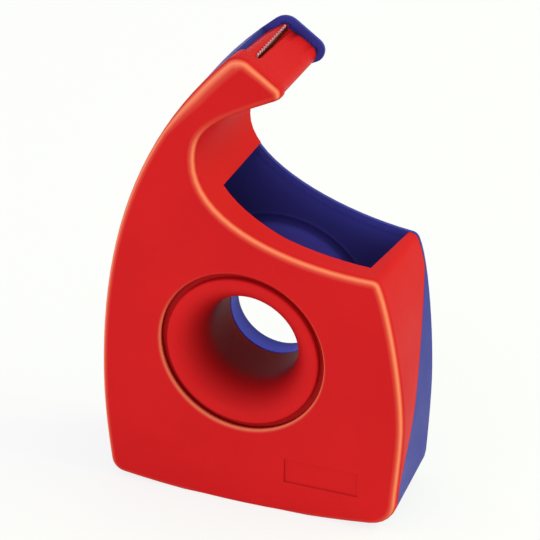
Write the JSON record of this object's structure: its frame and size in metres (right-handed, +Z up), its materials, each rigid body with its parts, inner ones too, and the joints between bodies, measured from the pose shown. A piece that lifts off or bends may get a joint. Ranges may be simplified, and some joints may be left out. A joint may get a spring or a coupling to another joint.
{
  "type": "handheld tape dispenser",
  "caption": "Flat curved two-shell hand dispenser for a narrow tape roll, with a flared finger hole through the hub, an open saddle window, a nose pad and a toothed blade.",
  "frame": {"origin": "on the table, under the middle of the housing's width and depth", "axes": "+Z up from the sole to the nose, front face towards -Y, nose and saddle open towards +X; the finger hole runs along Y"},
  "size_m": [0.0742, 0.028, 0.1132],
  "materials": {
    "red_plastic": "smooth moulded, satin gloss",
    "blue_plastic": "smooth moulded, satin gloss",
    "hub_plastic": "smooth moulded, satin gloss",
    "blade_steel": "thin stamped strip"
  },
  "bodies": {
    "front_shell": {"front_shell": "red_plastic", "cutter_blade": "blade_steel"},
    "rear_shell": {"rear_shell": "blue_plastic"},
    "roll_hub": {"roll_hub": "hub_plastic"}
  },
  "joints": [
    {"name": "shell_slide", "type": "slide", "parent": "front_shell", "child": "rear_shell", "axis": [0, 1, 0], "range_m": [0, 0.03]},
    {"name": "hub_spin", "type": "hinge", "parent": "rear_shell", "child": "roll_hub", "pos_m": [-0.0022, 0, 0.04], "axis": [0, 1, 0], "continuous": true}
  ]
}
